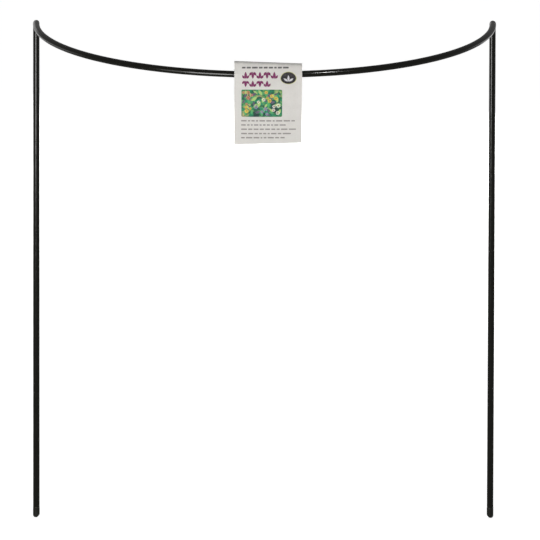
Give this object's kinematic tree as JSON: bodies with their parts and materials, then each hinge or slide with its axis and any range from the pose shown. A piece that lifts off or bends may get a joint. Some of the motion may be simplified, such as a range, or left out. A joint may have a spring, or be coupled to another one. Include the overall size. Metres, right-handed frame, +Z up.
{
  "type": "plant support hoop",
  "caption": "Half-round plant support hoop on straight legs, bent from plastic-coated steel rod, with slant-cut tip caps and a folded card tag that hangs on the hoop.",
  "frame": {"origin": "middle of the part seen from above, level with the tips of the legs", "axes": "+Z up along the legs, the hoop bows towards -Y, +X from the left leg to the right leg"},
  "size_m": [0.4588, 0.2452, 0.519],
  "materials": {
    "core_steel": "drawn steel rod",
    "coat_plastic": "satin black, slightly wavy coat",
    "cap_plastic": "satin black",
    "tag_card": "uncoated printed card",
    "tag_glue": "dried glue"
  },
  "bodies": {
    "support": {"steel_core": "core_steel", "plastic_coat": "coat_plastic", "left_tip_cap": "cap_plastic", "right_tip_cap": "cap_plastic"},
    "tag": {"tag_card": "tag_card", "tag_glue": "tag_glue"}
  },
  "joints": [
    {"name": "tag_swing", "type": "hinge", "parent": "support", "child": "tag", "pos_m": [0.0026, -0.11729, 0.50685], "axis": [1, 0, 0], "continuous": true}
  ]
}
